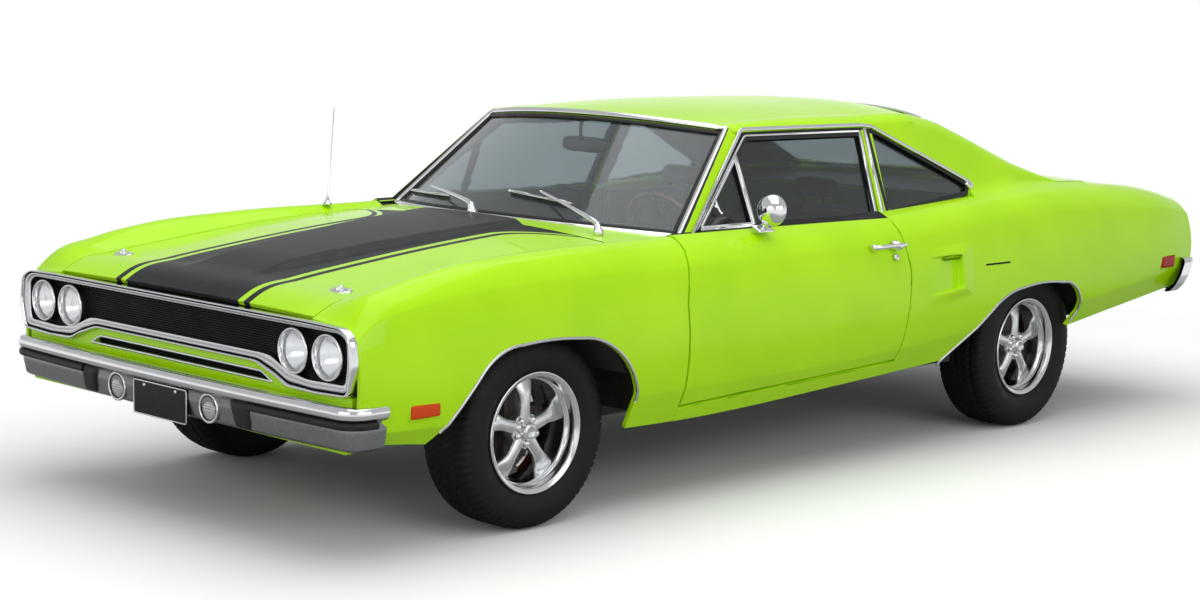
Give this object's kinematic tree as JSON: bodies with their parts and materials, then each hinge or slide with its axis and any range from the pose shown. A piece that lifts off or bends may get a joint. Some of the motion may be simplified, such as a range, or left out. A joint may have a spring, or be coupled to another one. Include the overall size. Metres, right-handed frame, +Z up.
{
  "type": "muscle car",
  "caption": "Two-door hardtop muscle car with opening doors, hood and deck lid, steered front wheels and four rolling wheels on five-spoke cast rims.",
  "frame": {"origin": "on the road under the middle of the car: the centre of the box round it, at the bottom of the tyres", "axes": "+Z up, +Y towards the back of the car, +X towards the driver's side, which is the left of the car"},
  "size_m": [1.9444, 5.0996, 1.3771],
  "materials": {
    "body_paint": "high-gloss lime green paint",
    "chrome": "polished",
    "black_trim": "matt black",
    "black_paint": "satin black",
    "underbody": "satin black undercoat",
    "glass": "clear",
    "lamp_glass": "clear",
    "red_lens": "clear red",
    "amber_lens": "clear amber",
    "rubber": "matt",
    "tyre": "matt",
    "alloy": "polished",
    "cast": "rough",
    "vinyl": "grained",
    "steel": "worn",
    "plate": "gloss"
  },
  "bodies": {
    "body": {"fender_left": "body_paint", "fender_right": "body_paint", "quarter_left": "body_paint", "quarter_right": "body_paint", "sills": "body_paint", "roof": "body_paint", "cowl": "body_paint", "upper_deck": "body_paint", "tail_panel": "body_paint", "front_panel": "body_paint", "windshield": "glass", "rear_window": "glass", "quarter_windows": "glass", "grille": "black_trim", "grille_surround": "chrome", "front_lamps": "lamp_glass", "lamp_bezels": "chrome", "front_bumper": "chrome", "bumper_pads": "rubber", "number_plates": "plate", "rear_bumper": "chrome", "tail_lamps": "red_lens", "side_markers": "amber_lens", "wipers": "chrome", "aerial": "chrome", "floor_pan": "underbody", "inner_panels": "underbody", "frame_rails": "underbody", "engine": "cast", "driveshaft": "steel", "rear_axle": "cast", "leaf_springs": "steel", "exhaust": "steel", "fuel_tank": "steel", "front_arms": "cast", "dashboard": "black_trim", "steering_column": "black_trim", "front_seats": "vinyl", "rear_seat": "vinyl"},
    "hood_lid": {"hood": "body_paint"},
    "deck_lid": {"decklid": "body_paint"},
    "door_l": {"door_left": "body_paint", "door_left_glass": "glass", "door_left_trim": "chrome"},
    "door_r": {"door_right": "body_paint", "door_right_glass": "glass", "door_right_trim": "chrome"},
    "handwheel": {"steering_wheel": "black_trim"},
    "upright_l": {"knuckle_left": "cast"},
    "upright_r": {"knuckle_right": "cast"},
    "wheel_fl": {"rim_front_left": "alloy", "tyre_front_left": "tyre"},
    "wheel_fr": {"rim_front_right": "alloy", "tyre_front_right": "tyre"},
    "wheel_rl": {"rim_rear_left": "alloy", "tyre_rear_left": "tyre"},
    "wheel_rr": {"rim_rear_right": "alloy", "tyre_rear_right": "tyre"}
  },
  "joints": [
    {"name": "hood_lift", "type": "hinge", "parent": "body", "child": "hood_lid", "pos_m": [0, -1.178, 0.963], "axis": [-1, 0, 0], "range_deg": [0, 48]},
    {"name": "decklid_lift", "type": "hinge", "parent": "body", "child": "deck_lid", "pos_m": [0, 1.728, 1.037], "axis": [1, 0, 0], "range_deg": [0, 50]},
    {"name": "door_left_swing", "type": "hinge", "parent": "body", "child": "door_l", "pos_m": [0.966, -1.016, 0.6], "axis": [0, 0, -1], "range_deg": [0, 62]},
    {"name": "door_right_swing", "type": "hinge", "parent": "body", "child": "door_r", "pos_m": [-0.966, -1.016, 0.6], "axis": [0, 0, 1], "range_deg": [0, 62]},
    {"name": "steer_left", "type": "hinge", "parent": "body", "child": "upright_l", "pos_m": [0.735, -1.64, 0.33], "axis": [0, 0, 1], "range_deg": [-30, 30]},
    {"name": "steer_right", "type": "hinge", "parent": "body", "child": "upright_r", "pos_m": [-0.735, -1.64, 0.33], "axis": [0, 0, 1], "range_deg": [-30, 30]},
    {"name": "handwheel_turn", "type": "hinge", "parent": "body", "child": "handwheel", "pos_m": [0.38, -0.494, 0.873], "axis": [0, 0.9063, 0.4226], "range_deg": [-480, 480]},
    {"name": "wheel_front_left_spin", "type": "hinge", "parent": "upright_l", "child": "wheel_fl", "pos_m": [0.758, -1.64, 0.33], "axis": [1, 0, 0], "continuous": true},
    {"name": "wheel_front_right_spin", "type": "hinge", "parent": "upright_r", "child": "wheel_fr", "pos_m": [-0.758, -1.64, 0.33], "axis": [1, 0, 0], "continuous": true},
    {"name": "wheel_rear_left_spin", "type": "hinge", "parent": "body", "child": "wheel_rl", "pos_m": [0.752, 1.26, 0.345], "axis": [1, 0, 0], "continuous": true},
    {"name": "wheel_rear_right_spin", "type": "hinge", "parent": "body", "child": "wheel_rr", "pos_m": [-0.752, 1.26, 0.345], "axis": [1, 0, 0], "continuous": true}
  ],
  "couplings": [
    {"joint": "steer_right", "follows": "steer_left", "ratio": 1},
    {"joint": "handwheel_turn", "follows": "steer_left", "ratio": 16}
  ]
}
